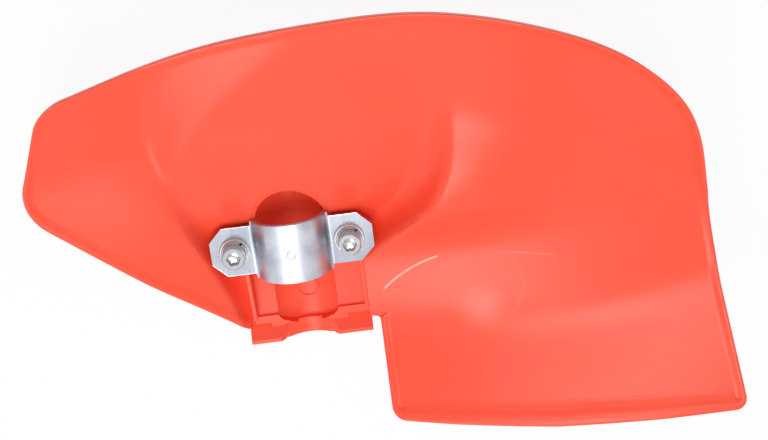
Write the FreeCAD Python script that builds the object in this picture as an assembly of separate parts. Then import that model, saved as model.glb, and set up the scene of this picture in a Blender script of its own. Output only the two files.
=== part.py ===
import FreeCAD, Part
import math
import os

# Trimmer blade guard: a dished plastic guard with a steel clamp strap for a 28 mm tube.
# Frame: origin on the tube axis under the strap, +X ear to ear, +Y along the tube to the operator,
# +Z along the screws, out of the hollow blade side. Millimetres.

# Tube and clamp
TUBE_R = 14.0
TUBE_CLEARANCE = 0.1
STRAP_T = 2.0
STRAP_WIDTH = 26.0
STRAP_LENGTH = 70.0
EAR_WIDTH = 22.0
EAR_CHAMFER = 6.0
EAR_SEAT_Z = 2.0
BEND_R = 3.0
ARCH_EDGE_X = 16.2
PIP_R = 2.5
PIP_DEPTH = 0.6

# Screws, washers and nuts
SCREW_PITCH = 49.0
SCREW_D = 6.0
SCREW_LENGTH = 20.0
HEAD_D = 10.0
HEAD_H = 6.0
HEAD_BEVEL = 0.5
SOCKET_AF = 5.0
SOCKET_DEPTH = 3.0
SPRING_D = 11.2
SPRING_T = 1.6
SPRING_GAP = 0.9
SPRING_SLANT = 20.0
WASHER_D = 13.0
WASHER_T = 1.6
NUT_AF = 10.0
NUT_H = 5.0
NUT_SEAT_Z = -7.4
HOLE_CLEARANCE = 0.3
THREAD_CLEARANCE = 0.05
NUT_CLEARANCE = 0.15

# Guard wall and its edge beads
WALL = 3.0
BEAD_W = 2.3
BEAD_RISE = 0.9
BEAD_ROOT = 1.0
BAND_W = 6.0

# Dished plate: rises away from the tube on both sides and towards the rim
PLATE_Z = -12.0
PLATE_LIFT = 45.0
PLATE_REACH = 130.0
PLATE_ROUND = 20.0
PLATE_SLOPE = 0.12
PLATE_SLOPE_UP = 0.23
PLATE_BLEND = 6.0

# Ramp that climbs over the tube, between two creases
RAMP_START_Y = 2.4
RAMP_LIFT = 60.0
RAMP_REACH = 45.0
RAMP_BLEND = 4.0
FAN_HALF = 36.0
FAN_OPEN_RIGHT = 34.0
FAN_OPEN_LEFT = 13.0
FAN_REACH_RIGHT = 28.0
FAN_REACH_LEFT = 40.0
FAN_START_Y = -6.0
FAN_WALL_RIGHT = 18.0
FAN_WALL_LEFT = 14.0
FAN_FADE = 1.5
FAN_FADE_Y = 55.0
FAN_FADE_BLEND = 6.0

# Shoulders of the plate beside the creases
SHOULDER_RISE_RIGHT = 9.0
SHOULDER_RISE_LEFT = 5.0
SHOULDER_REACH_RIGHT = 45.0
SHOULDER_REACH_LEFT = 30.0
SHOULDER_Y = 30.0
SHOULDER_LENGTH = 24.0

# Flared skirt along the rim
SKIRT_PEAK_X = 10.0
SKIRT_PEAK_Y = 62.0
SKIRT_BEND_LEFT_R = 417.0
SKIRT_BEND_RIGHT_R = 250.0
SKIRT_SLOPE = 0.30
SKIRT_STEEPEN_REACH = 500.0
SKIRT_STEEPEN_X = 70.0
SKIRT_STEEPEN_BLEND = 10.0
SKIRT_BLEND = 6.0

# Flap below the fold line on the right
FLAP_FOLD_Y = -41.5
FLAP_FOLD_X = 100.0
FLAP_FOLD_R = 192.0
FLAP_RISE = 23.0
FLAP_END_Y = -88.0
FLAP_BLEND = 6.0

# Outline seen along the screws: a smooth rim, then corners with their radii
RIM_START = (-69.5, 83.0)
RIM_START_DIRECTION = (0.964, 0.267)
RIM_POINTS = [(-20.0, 95.2), (20.0, 99.2), (67.0, 98.7), (107.6, 88.7), (136.6, 74.9), (156.6, 51.1)]
RIM_END = (170.0, 11.8)
RIM_END_DIRECTION = (0.27, -0.963)
FLAP_RIGHT_TOP = (175.3, -19.0)
FLAP_RIGHT_BOTTOM = (184.0, -85.6)
FLAP_BOTTOM_MIDDLE = (104.0, -89.3)
FLAP_LEFT_BOTTOM = (35.0, -85.0)
FLAP_LEFT_TOP = (34.6, -39.3)
FREE_EDGE_FOOT = (-24.8, -41.0)
FREE_EDGE_MIDDLE = (-63.0, -8.2)
LEFT_TIP = (-101.7, 35.7)
LEFT_SHOULDER = (-80.0, 80.1)
FLAP_SIDE_R = 60.0
FLAP_CORNER_R = 5.0
FLAP_BOTTOM_R = 800.0
NOTCH_R = 1.5
FREE_EDGE_R = 150.0
LEFT_TIP_R = 20.0
LEFT_SHOULDER_R = 17.0

# Grid that carries the dished surface
GRID_STEP = 12.0
GRID_MARGIN = 12.0

# Saddle that holds the tube, and the trough behind it, under the ramp
FLOOR_Z = -11.0
RIB_LEFT_X = -21.5
RIB_RIGHT_X = 28.5
RIB_T = 1.8
RIB_TOP_Z = 0.0
RIB_END_Z = -5.0
RIB_TOP_Y = -8.0
FLOOR_TOP_Y = 10.0
SHELL_CUT_Y = 1.0
SEAT_FRONT_Y = -14.0
SEAT_BACK_Y = 13.0
SEAT_WALL = 3.0
BOSS_R = 8.0
BOSS_BOTTOM_Z = -14.0
RAMP_HOLE_R = 14.8
RAMP_HOLE_X = 0.6
RAMP_HOLE_REACH = 50.0
TROUGH_END_Y = 30.0
POCKET_R = 17.5
POCKET_X = 2.0
POCKET_END_Y = -42.5
POCKET_CORNER_R = 10.0
MARK_X = 2.8
MARK_Y = -28.6
MARK_R = 4.9
MARK_RING = 0.9
MARK_RISE = 0.6

# Ledge and end lip, as a section across the tube's end
LEDGE_Y = -37.0
LEDGE_Z = -9.5
LEDGE_W = 3.5
GUTTER_Z = -12.0
GUTTER_DROP = 1.0
LIP_Y = -49.8
LIP_Z = -8.0
LIP_EDGE = 1.8
LIP_T = 2.6
LIP_LEFT_X = -25.2
LIP_RIGHT_X = 30.0
LIP_ARC_R = 15.4
LIP_ARC_X = 1.4

REACH = 400.0
AXIS_X = FreeCAD.Vector(1, 0, 0)
AXIS_Y = FreeCAD.Vector(0, 1, 0)
AXIS_Z = FreeCAD.Vector(0, 0, 1)
BORE_R = TUBE_R + TUBE_CLEARANCE
STRAP_TOP_Z = EAR_SEAT_Z + STRAP_T
SPRING_Z = STRAP_TOP_Z + WASHER_T
HEAD_Z = SPRING_Z + SPRING_T
SCREW_SPOTS = [-SCREW_PITCH / 2, SCREW_PITCH / 2]
HOLE_R = SCREW_D / 2 + HOLE_CLEARANCE


def vec(x, y, z=0.0):
    return FreeCAD.Vector(x, y, z)


def ramp_up(value, blend):
    """Zero below, value above, with a rounded turn of the given size."""
    ratio = value / blend
    if ratio > 40:
        return value
    return blend * math.log1p(math.exp(max(ratio, -40)))


def ease_out(share):
    """A sharp start and a soft end, from 0 to 1."""
    held = min(max(share, 0.0), 1.0)
    return 1 - (1 - held) ** 2


def fade(distance, reach):
    """One at no distance, falling smoothly to nothing beyond the reach."""
    return math.exp(-((distance / reach) ** 2))


def creases(y):
    """The x of the ramp's left and right creases."""
    along = y - FAN_START_Y
    left = FAN_HALF + FAN_OPEN_LEFT * math.tanh(along / FAN_REACH_LEFT)
    right = FAN_HALF + FAN_OPEN_RIGHT * math.tanh(along / FAN_REACH_RIGHT)
    return -left, right


def shoulder_height(x, y):
    """Extra height of the plate beside the creases, less further out and towards their ends."""
    left, right = creases(y)
    if x > 0:
        rise = SHOULDER_RISE_RIGHT * fade(max(x - right, 0), SHOULDER_REACH_RIGHT)
    else:
        rise = SHOULDER_RISE_LEFT * fade(max(left - x, 0), SHOULDER_REACH_LEFT)
    return rise * fade(y - SHOULDER_Y, SHOULDER_LENGTH)


def plate_height(x, y):
    away = math.hypot(x, PLATE_ROUND)
    sideways = PLATE_LIFT * math.tanh(away / PLATE_REACH)
    upward = PLATE_SLOPE * y + PLATE_SLOPE_UP * ramp_up(y, PLATE_BLEND)
    return PLATE_Z + sideways + upward + shoulder_height(x, y)


def ramp_height(y):
    along = ramp_up(y - RAMP_START_Y, RAMP_BLEND)
    return FLOOR_Z + RAMP_LIFT * (1 - math.exp(-along / RAMP_REACH))


def fan_share(x, y):
    """How far a point lies inside the two creases of the ramp."""
    left, right = creases(y)
    wider = FAN_FADE * ramp_up(y - FAN_FADE_Y, FAN_FADE_BLEND)
    return ease_out((right - x) / (FAN_WALL_RIGHT + wider)) * ease_out((x - left) / (FAN_WALL_LEFT + wider))


def skirt_height(x, y):
    bend_r = SKIRT_BEND_RIGHT_R if x > SKIRT_PEAK_X else SKIRT_BEND_LEFT_R
    crease_y = SKIRT_PEAK_Y - (x - SKIRT_PEAK_X) ** 2 / (2 * bend_r)
    steep = ramp_up(x - SKIRT_STEEPEN_X, SKIRT_STEEPEN_BLEND) / SKIRT_STEEPEN_REACH
    return (SKIRT_SLOPE + steep) * ramp_up(y - crease_y, SKIRT_BLEND)


def flap_height(x, y):
    """The flap's rise below its fold, which bends up towards the right edge."""
    fold_y = FLAP_FOLD_Y + max(x - FLAP_FOLD_X, 0) ** 2 / (2 * FLAP_FOLD_R)
    slope = FLAP_RISE / (fold_y - FLAP_END_Y)
    return slope * ramp_up(fold_y - y, FLAP_BLEND)


def dish_height(x, y):
    share = fan_share(x, y)
    base = plate_height(x, y) * (1 - share) + ramp_height(y) * share
    return base + skirt_height(x, y) + flap_height(x, y)


def dish_normal(x, y):
    step = 0.5
    slope_x = (dish_height(x + step, y) - dish_height(x - step, y)) / (2 * step)
    slope_y = (dish_height(x, y + step) - dish_height(x, y - step)) / (2 * step)
    return vec(-slope_x, -slope_y, 1).normalize()


def grid_lines(low, high):
    count = math.ceil((high - low) / GRID_STEP)
    return [low + (high - low) * k / count for k in range(count + 1)]


def dish_surface(box, place):
    """A smooth face through place(x, y) on a grid over the outline's box."""
    columns = grid_lines(box.XMin - GRID_MARGIN, box.XMax + GRID_MARGIN)
    rows = grid_lines(box.YMin - GRID_MARGIN, box.YMax + GRID_MARGIN)
    surface = Part.BSplineSurface()
    surface.interpolate([[place(x, y) for y in rows] for x in columns])
    return surface


def dish_slab(box, low_place, high_place):
    """A solid between two dished faces, closed by ruled sides."""
    low = dish_surface(box, low_place)
    high = dish_surface(box, high_place)
    faces = [low.toShape(), high.toShape()]
    u_ends = low.bounds()[:2]
    v_ends = low.bounds()[2:]
    for u in u_ends:
        faces.append(Part.makeRuledSurface(low.uIso(u).toShape(), high.uIso(u).toShape()))
    for v in v_ends:
        faces.append(Part.makeRuledSurface(low.vIso(v).toShape(), high.vIso(v).toShape()))
    shell = Part.Shell(faces)
    shell.sewShape()
    solid = Part.Solid(shell)
    if solid.Volume < 0:
        solid.reverse()
    return solid


def dish_place(lift):
    return lambda x, y: vec(x, y, dish_height(x, y) + lift)


def back_place(x, y):
    return dish_place(0)(x, y) - dish_normal(x, y) * WALL


def rounded_path(points, radii):
    """Straight runs joined by tangent arcs; the first and last points have no arc."""
    edges = []
    start = points[0]
    for index in range(1, len(points) - 1):
        before = (points[index - 1] - points[index]).normalize()
        after = (points[index + 1] - points[index]).normalize()
        half = before.getAngle(after) / 2
        reach = radii[index - 1] / math.tan(half)
        middle = (before + after).normalize()
        centre = points[index] + middle * (radii[index - 1] / math.sin(half))
        first = points[index] + before * reach
        last = points[index] + after * reach
        edges.append(Part.LineSegment(start, first).toShape())
        edges.append(Part.Arc(first, centre - middle * radii[index - 1], last).toShape())
        start = last
    edges.append(Part.LineSegment(start, points[-1]).toShape())
    return edges


def outline_face():
    rim_points = [RIM_START] + RIM_POINTS + [RIM_END]
    rim = Part.BSplineCurve()
    rim.interpolate(
        Points=[vec(*p) for p in rim_points],
        InitialTangent=vec(*RIM_START_DIRECTION),
        FinalTangent=vec(*RIM_END_DIRECTION),
    )
    corners = [
        (FLAP_RIGHT_TOP, FLAP_SIDE_R),
        (FLAP_RIGHT_BOTTOM, FLAP_CORNER_R),
        (FLAP_BOTTOM_MIDDLE, FLAP_BOTTOM_R),
        (FLAP_LEFT_BOTTOM, FLAP_CORNER_R),
        (FLAP_LEFT_TOP, NOTCH_R),
        (FREE_EDGE_FOOT, NOTCH_R),
        (FREE_EDGE_MIDDLE, FREE_EDGE_R),
        (LEFT_TIP, LEFT_TIP_R),
        (LEFT_SHOULDER, LEFT_SHOULDER_R),
    ]
    path = [RIM_END] + [corner for corner, radius in corners] + [RIM_START]
    edges = rounded_path([vec(*p) for p in path], [radius for corner, radius in corners])
    return Part.Face(Part.Wire([rim.toShape()] + edges))


def upright(face):
    """A face in the XY plane, stretched up and down past the whole guard."""
    return face.translated(vec(0, 0, -REACH / 2)).extrude(vec(0, 0, REACH))


def box_between(low, high):
    return Part.makeBox(high[0] - low[0], high[1] - low[1], high[2] - low[2], vec(*low))


def tube_along(radius, x, start_y, end_y):
    return Part.makeCylinder(radius, end_y - start_y, vec(x, start_y, 0), AXIS_Y)


def lower_half(radius, x, start_y, end_y, top_z):
    bar = tube_along(radius, x, start_y, end_y)
    keep = box_between((x - radius, start_y, -radius), (x + radius, end_y, top_z))
    return bar.common(keep)


def hexagon_bar(across_flats, height, x, z):
    corner_r = across_flats / math.sqrt(3)
    corners = [
        vec(x + corner_r * math.cos(k * math.pi / 3), corner_r * math.sin(k * math.pi / 3), z)
        for k in range(6)
    ]
    return Part.Face(Part.makePolygon(corners + corners[:1])).extrude(vec(0, 0, height))


def edge_bead(outline):
    """The raised rim bead, with a wider band along the flap and the free edge."""
    inside = outline.makeOffset2D(-BEAD_W).toNurbs()
    field = inside.common(outline.translated(vec(0, BAND_W, 0)))
    slab = dish_slab(outline.BoundBox, dish_place(-BEAD_ROOT), dish_place(BEAD_RISE))
    return slab.common(upright(outline.cut(field)))


def rib(x):
    """A thin wall beside the saddle floor, lower towards the lip."""
    bottom = FLOOR_Z - WALL
    corners = [(RIB_TOP_Y, bottom), (RIB_TOP_Y, RIB_TOP_Z), (LEDGE_Y, RIB_END_Z), (LEDGE_Y, bottom)]
    points = [vec(x - RIB_T / 2, y, z) for y, z in corners]
    return Part.Face(Part.makePolygon(points + points[:1])).extrude(AXIS_X * RIB_T)


def end_lip():
    """The ledge, the gutter behind it and the upturned lip."""
    gutter_y = LEDGE_Y - LEDGE_W - GUTTER_DROP
    section = [
        (LEDGE_Y + WALL, FLOOR_Z - WALL),
        (LEDGE_Y + WALL, FLOOR_Z - WALL / 2),
        (LEDGE_Y, FLOOR_Z - WALL / 2),
        (LEDGE_Y, LEDGE_Z),
        (LEDGE_Y - LEDGE_W, LEDGE_Z),
        (gutter_y, GUTTER_Z),
        (LIP_Y + LIP_EDGE, LIP_Z),
        (LIP_Y, LIP_Z),
        (LIP_Y, LIP_Z - LIP_T),
        (gutter_y, GUTTER_Z - LIP_T),
    ]
    points = [vec(LIP_LEFT_X, y, z) for y, z in section]
    return Part.Face(Part.makePolygon(points + points[:1])).extrude(AXIS_X * (LIP_RIGHT_X - LIP_LEFT_X))


def pocket():
    """The relief in front of the seat, with a rounded end in plan."""
    half = POCKET_R
    plan_points = [
        vec(POCKET_X - half, SEAT_FRONT_Y),
        vec(POCKET_X - math.sqrt(POCKET_R ** 2 - FLOOR_Z ** 2), POCKET_END_Y),
        vec(POCKET_X + math.sqrt(POCKET_R ** 2 - FLOOR_Z ** 2), POCKET_END_Y),
        vec(POCKET_X + half, SEAT_FRONT_Y),
    ]
    edges = rounded_path(plan_points, [POCKET_CORNER_R, POCKET_CORNER_R])
    edges.append(Part.LineSegment(plan_points[-1], plan_points[0]).toShape())
    plan = upright(Part.Face(Part.Wire(edges)))
    return tube_along(POCKET_R, POCKET_X, POCKET_END_Y, SEAT_FRONT_Y).common(plan)


def mould_mark():
    """A low ring left on the pocket floor by the mould."""
    foot = -POCKET_R - WALL / 2
    height = MARK_RISE + WALL / 2
    outer = Part.makeCylinder(MARK_R, height, vec(MARK_X, MARK_Y, foot))
    return outer.cut(Part.makeCylinder(MARK_R - MARK_RING, height, vec(MARK_X, MARK_Y, foot)))


def saddle_body():
    left = RIB_LEFT_X - RIB_T / 2
    right = RIB_RIGHT_X + RIB_T / 2
    floor = box_between((left, LEDGE_Y, FLOOR_Z - WALL), (right, FLOOR_TOP_Y, FLOOR_Z))
    pieces = [rib(RIB_LEFT_X), rib(RIB_RIGHT_X), end_lip()]
    pieces.append(lower_half(POCKET_R + WALL, POCKET_X, POCKET_END_Y - WALL, SEAT_BACK_Y, FLOOR_Z))
    pieces.append(lower_half(LIP_ARC_R + LIP_T, LIP_ARC_X, LIP_Y, LEDGE_Y, GUTTER_Z))
    pieces.append(lower_half(BORE_R + SEAT_WALL, 0, SEAT_FRONT_Y, SEAT_BACK_Y, 0))
    pieces.append(lower_half(RAMP_HOLE_R + SEAT_WALL, RAMP_HOLE_X, SEAT_BACK_Y - WALL, TROUGH_END_Y, 0))
    for x in SCREW_SPOTS:
        boss = Part.makeCylinder(BOSS_R, EAR_SEAT_Z - BOSS_BOTTOM_Z, vec(x, 0, BOSS_BOTTOM_Z))
        pieces.append(boss)
    return floor.multiFuse(pieces)


def shared_cuts():
    """The tube's way and the screw holes, which pass through dish and saddle alike."""
    cuts = [tube_along(BORE_R, 0, SEAT_FRONT_Y, SEAT_BACK_Y)]
    cuts.append(tube_along(RAMP_HOLE_R, RAMP_HOLE_X, SEAT_BACK_Y, SEAT_BACK_Y + RAMP_HOLE_REACH))
    for x in SCREW_SPOTS:
        cuts.append(Part.makeCylinder(HOLE_R, REACH, vec(x, 0, -REACH / 2)))
        cuts.append(hexagon_bar(NUT_AF + 2 * NUT_CLEARANCE, REACH, x, NUT_SEAT_Z - REACH))
    return cuts


def dish():
    """The dished wall with its bead, open where the saddle goes and where the tube passes."""
    outline = outline_face()
    wall = dish_slab(outline.BoundBox, back_place, dish_place(0)).common(upright(outline))
    left = RIB_LEFT_X - RIB_T / 2
    right = RIB_RIGHT_X + RIB_T / 2
    cuts = shared_cuts()
    cuts.append(box_between((left, -REACH, -REACH), (right, SHELL_CUT_Y, REACH)))
    return wall.fuse(edge_bead(outline)).cut(cuts)


def saddle():
    cuts = shared_cuts()
    cuts.append(tube_along(LIP_ARC_R, LIP_ARC_X, LIP_Y - WALL, POCKET_END_Y))
    cuts.append(pocket())
    return saddle_body().cut(cuts).fuse(mould_mark().cut(pocket_air()))


def guard_shell():
    return dish().fuse(saddle())


def pocket_air():
    """The space above the mark's own rise, so that the ring keeps its height."""
    return Part.makeCylinder(POCKET_R - MARK_RISE, REACH, vec(POCKET_X, -REACH / 2, 0), AXIS_Y)


def strap_section():
    """The bent sheet seen along the tube: two ears, two bends and the arch."""
    end = STRAP_LENGTH / 2
    middle_r = BORE_R + STRAP_T / 2
    bend_z = EAR_SEAT_Z + STRAP_T / 2 + BEND_R
    bend_x = math.sqrt((middle_r + BEND_R) ** 2 - bend_z ** 2)
    lean = math.atan2(bend_z, bend_x)

    def side(arch_r, bend_r, ear_z):
        foot = vec(bend_x, 0, ear_z)
        touch = vec(arch_r * math.cos(lean), 0, arch_r * math.sin(lean))
        turn = (lean - math.pi / 2) / 2 - math.pi / 2
        between = vec(bend_x + bend_r * math.cos(turn), 0, bend_z + bend_r * math.sin(turn))
        flip = lambda p: vec(-p.x, 0, p.z)
        return [
            Part.LineSegment(vec(end, 0, ear_z), foot).toShape(),
            Part.Arc(foot, between, touch).toShape(),
            Part.Arc(touch, vec(0, 0, arch_r), flip(touch)).toShape(),
            Part.Arc(flip(touch), flip(between), flip(foot)).toShape(),
            Part.LineSegment(flip(foot), vec(-end, 0, ear_z)).toShape(),
        ]

    edges = side(BORE_R, BEND_R + STRAP_T / 2, EAR_SEAT_Z)
    edges += side(BORE_R + STRAP_T, BEND_R - STRAP_T / 2, STRAP_TOP_Z)
    for x in (end, -end):
        edges.append(Part.LineSegment(vec(x, 0, EAR_SEAT_Z), vec(x, 0, STRAP_TOP_Z)).toShape())
    return Part.Face(Part.Wire(Part.__sortEdges__(edges)))


def strap_plan():
    """The strap's blank seen along the screws, with cut ear corners."""
    end = STRAP_LENGTH / 2
    ear = EAR_WIDTH / 2
    arch = STRAP_WIDTH / 2
    quarter = [(end, ear - EAR_CHAMFER), (end - EAR_CHAMFER, ear), (ARCH_EDGE_X, ear), (ARCH_EDGE_X, arch)]
    corners = quarter + [(-x, y) for x, y in reversed(quarter)]
    corners += [(-x, -y) for x, y in quarter] + [(x, -y) for x, y in reversed(quarter)]
    points = [vec(x, y) for x, y in corners]
    return upright(Part.Face(Part.makePolygon(points + points[:1])))


def clamp_strap():
    sheet = strap_section().translated(vec(0, -STRAP_WIDTH / 2, 0)).extrude(AXIS_Y * STRAP_WIDTH)
    strap = sheet.common(strap_plan())
    for x in SCREW_SPOTS:
        strap = strap.cut(Part.makeCylinder(HOLE_R, REACH, vec(x, 0, -REACH / 2)))
    ball_r = (PIP_R ** 2 + PIP_DEPTH ** 2) / (2 * PIP_DEPTH)
    ball_z = BORE_R + STRAP_T - PIP_DEPTH + ball_r
    return strap.cut(Part.makeSphere(ball_r, vec(0, 0, ball_z)))


def cap_screw(x):
    head = Part.makeCylinder(HEAD_D / 2, HEAD_H, vec(x, 0, HEAD_Z))
    rim = [edge for edge in head.Edges if edge.BoundBox.ZMin > HEAD_Z + HEAD_H / 2 and edge.isClosed()]
    head = head.makeChamfer(HEAD_BEVEL, rim)
    shank = Part.makeCylinder(SCREW_D / 2, SCREW_LENGTH, vec(x, 0, HEAD_Z - SCREW_LENGTH))
    socket = hexagon_bar(SOCKET_AF, SOCKET_DEPTH, x, HEAD_Z + HEAD_H - SOCKET_DEPTH)
    return head.fuse(shank).cut(socket)


def ring(x, outer_r, inner_r, z, height):
    outer = Part.makeCylinder(outer_r, height, vec(x, 0, z))
    return outer.cut(Part.makeCylinder(inner_r, height, vec(x, 0, z)))


def spring_washer(x):
    """A flattened coil with a slanted split."""
    coil = ring(x, SPRING_D / 2, HOLE_R, SPRING_Z, SPRING_T)
    split = box_between((0, -SPRING_GAP / 2, -SPRING_T), (SPRING_D, SPRING_GAP / 2, 2 * SPRING_T))
    split.rotate(vec(0, 0, SPRING_T / 2), AXIS_X, SPRING_SLANT)
    split.rotate(vec(0, 0, 0), AXIS_Z, 45)
    return coil.cut(split.translated(vec(x, 0, SPRING_Z)))


def flat_washer(x):
    return ring(x, WASHER_D / 2, HOLE_R, STRAP_TOP_Z, WASHER_T)


def hex_nut(x):
    nut = hexagon_bar(NUT_AF, NUT_H, x, NUT_SEAT_Z - NUT_H)
    bore_r = SCREW_D / 2 + THREAD_CLEARANCE
    return nut.cut(Part.makeCylinder(bore_r, NUT_H, vec(x, 0, NUT_SEAT_Z - NUT_H)))


def at_screws(make):
    return Part.makeCompound([make(x) for x in SCREW_SPOTS])


def main():
    os.makedirs("parts", exist_ok=True)
    nodes = {
        "guard_shell": guard_shell(),
        "clamp_strap": clamp_strap(),
        "cap_screws": at_screws(cap_screw),
        "spring_washers": at_screws(spring_washer),
        "flat_washers": at_screws(flat_washer),
        "hex_nuts": at_screws(hex_nut),
    }
    for name, shape in nodes.items():
        shape.exportStep("parts/" + name + ".step")
        print(name, len(shape.Solids), shape.isValid(), round(shape.Volume), shape.BoundBox)


main()
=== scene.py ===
import math

import bmesh
import bpy
from bpy.props import FloatProperty, FloatVectorProperty, PointerProperty
from mathutils import Matrix, Vector
from mathutils.geometry import interpolate_bezier


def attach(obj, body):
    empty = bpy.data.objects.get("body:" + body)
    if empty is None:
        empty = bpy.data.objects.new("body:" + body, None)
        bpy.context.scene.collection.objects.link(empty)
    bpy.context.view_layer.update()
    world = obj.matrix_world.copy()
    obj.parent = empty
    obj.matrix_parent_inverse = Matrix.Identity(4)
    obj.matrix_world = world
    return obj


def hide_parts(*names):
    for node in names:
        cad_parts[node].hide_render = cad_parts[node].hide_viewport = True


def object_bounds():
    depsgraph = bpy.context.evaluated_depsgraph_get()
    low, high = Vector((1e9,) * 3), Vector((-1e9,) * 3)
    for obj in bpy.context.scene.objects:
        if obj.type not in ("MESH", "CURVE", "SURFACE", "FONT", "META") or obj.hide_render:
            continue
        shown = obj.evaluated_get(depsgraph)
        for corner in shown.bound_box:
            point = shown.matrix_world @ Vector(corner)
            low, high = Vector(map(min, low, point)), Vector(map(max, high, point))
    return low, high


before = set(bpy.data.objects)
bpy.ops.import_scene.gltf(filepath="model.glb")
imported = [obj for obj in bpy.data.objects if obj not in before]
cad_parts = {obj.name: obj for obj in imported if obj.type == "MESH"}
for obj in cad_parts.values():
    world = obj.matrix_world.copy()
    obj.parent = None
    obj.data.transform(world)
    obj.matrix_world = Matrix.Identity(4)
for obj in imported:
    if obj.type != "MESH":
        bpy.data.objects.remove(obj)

bl_info = {
    "name": "Trimmer Blade Guard",
    "version": (1, 0, 0),
    "blender": (4, 5, 0),
    "location": "View3D > Sidebar > Blade Guard",
    "description": "Builds a moulded blade guard with its steel tube clamp",
    "category": "Object",
}

# Shapes are worked out in millimetres and scaled to metres when a piece is finished
MM = 0.001
CAD_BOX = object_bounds()

# Dished plate, ramp, skirt and flap
PLATE_Z = -12.0
PLATE_LIFT = 45.0
PLATE_REACH = 130.0
PLATE_ROUND = 20.0
PLATE_SLOPE = 0.12
PLATE_SLOPE_UP = 0.23
PLATE_BLEND = 6.0
RAMP_START_Y = 2.4
RAMP_LIFT = 60.0
RAMP_REACH = 45.0
RAMP_BLEND = 4.0
FAN_HALF = 36.0
FAN_OPEN_RIGHT = 34.0
FAN_OPEN_LEFT = 13.0
FAN_REACH_RIGHT = 28.0
FAN_REACH_LEFT = 40.0
FAN_START_Y = -6.0
FAN_WALL_RIGHT = 15.0
FAN_WALL_LEFT = 9.0
CREASE_ROUND = 0.045
FAN_FADE = 1.5
FAN_FADE_Y = 55.0
FAN_FADE_BLEND = 6.0
SHOULDER_RISE_RIGHT = 12.0
SHOULDER_RISE_LEFT = 5.0
SHOULDER_REACH_RIGHT = 45.0
SHOULDER_REACH_LEFT = 30.0
SHOULDER_Y = 16.0
SHOULDER_LENGTH_UP = 46.0
SHOULDER_LENGTH_DOWN = 16.0
SKIRT_PEAK_X = 10.0
SKIRT_PEAK_Y = 62.0
SKIRT_BEND_LEFT_R = 417.0
SKIRT_BEND_RIGHT_R = 250.0
SKIRT_SLOPE = 0.30
SKIRT_STEEPEN_REACH = 500.0
SKIRT_STEEPEN_X = 70.0
SKIRT_STEEPEN_BLEND = 10.0
SKIRT_BLEND = 4.0
FLAP_FOLD_Y = -41.5
FLAP_FOLD_X = 100.0
FLAP_FOLD_R = 192.0
FLAP_RISE = 23.0
FLAP_END_Y = -88.0
FLAP_BLEND = 5.0

# Outline seen along the screws: a smooth rim, then corners as (x, y, radius)
RIM_POINTS = [
    (-69.5, 83.0), (-20.0, 95.2), (20.0, 99.2), (67.0, 98.7),
    (107.6, 88.7), (135.6, 73.8), (156.2, 50.9), (170.0, 11.8),
]
RIM_START_DIRECTION = (0.964, 0.267)
RIM_END_DIRECTION = (0.27, -0.963)
FLAP_CORNERS = [
    (175.3, -19.0, 60.0), (184.0, -85.6, 5.0), (104.0, -89.3, 800.0), (34.0, -85.0, 6.0), (33.7, -40.8, 1.5),
]
FREE_EDGE_CORNERS = [(-24.8, -41.0, 1.5), (-63.0, -8.2, 150.0), (-102.6, 36.0, 20.0), (-80.9, 80.4, 21.0)]
RIM_RESOLUTION = 34
ARC_STEP = 0.12

# Saddle that holds the tube
FLOOR_Z = -11.0
SADDLE_LEFT_X = -22.4
SADDLE_RIGHT_X = 29.4
SADDLE_CUT_Y = 1.0
SADDLE_CUT_LOW_Y = -40.5
SEAT_FRONT_Y = -14.0
SEAT_BACK_Y = 13.0
BORE_R = 14.1
TUNNEL_R = 14.8
TUNNEL_X = 0.6
TROUGH_END_Y = 30.0
WALL = 3.0
RIB_SPOTS = [-21.5, 28.5]
RIB_T = 1.8
RIB_TOP_Y = -8.0
RIB_TOP_Z = 0.0
RIB_END_Z = -5.0
FLOOR_TOP_Y = 10.0
BOSS_R = 8.0
BOSS_BOTTOM_Z = -14.0
POCKET_R = 17.5
POCKET_X = 2.0
POCKET_END_Y = -42.5
POCKET_CORNER_R = 10.0
MARK_X = 2.8
MARK_Y = -28.6
MARK_R = 4.9
MARK_RING = 0.9
MARK_RISE = 0.6
LEDGE_Y = -37.0
LEDGE_Z = -9.5
LEDGE_W = 3.5
GUTTER_Z = -12.0
GUTTER_DROP = 1.0
LIP_Y = -49.8
LIP_Z = -8.0
LIP_EDGE = 1.8
LIP_T = 2.6
LIP_ENDS = [-25.2, 30.0]
LIP_ARC_R = 15.4
LIP_ARC_X = 1.4
RIB_ROUND = 0.35
RIB_FOOT = 1.0
LIP_ROUND = 0.4
BOSS_ROUND = 0.6
REACH = 100.0

# Outline points between these bounds belong to the opening for saddle and tube
OPENING_X = (SADDLE_LEFT_X - 1.0, SADDLE_RIGHT_X + 4.0)
OPENING_Y = (-42.0, 40.0)

# Clamp strap, screws, washers and nuts
STRAP_T = 2.0
STRAP_ARCH_HALF = 13.0
STRAP_EAR_HALF = 11.0
STRAP_END = 35.0
EAR_CHAMFER = 6.0
EAR_SEAT_Z = 2.0
ARCH_EDGE_X = 16.2
BEND_R = 4.0
BEND_Z = 6.0
PIP_R = 2.5
PIP_DEPTH = 0.6
STRAP_ROUND = 0.3
SCREW_SPOTS = [-24.5, 24.5]
SCREW_R = 3.0
SCREW_TIP_Z = -12.8
TIP_CHAMFER = 0.6
THREAD_GAP = 0.05
HOLE_R = 3.3
HEAD_R = 5.0
HEAD_Z = 7.2
HEAD_TOP_Z = 13.2
HEAD_FOOT = 0.3
HEAD_CROWN = [(0.0, 0.9), (0.15, 0.4), (0.6, 0.0)]
SOCKET_AF = 5.0
SOCKET_DEPTH = 3.0
SOCKET_CHAMFER = 0.2
SOCKET_CHAMFER_DROP = 0.25
SOCKET_POINT = 0.7
MOUTH_MARGIN = 1.0
SPRING_R = 5.6
SPRING_Z = 5.6
SPRING_GAP = 0.9
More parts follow.
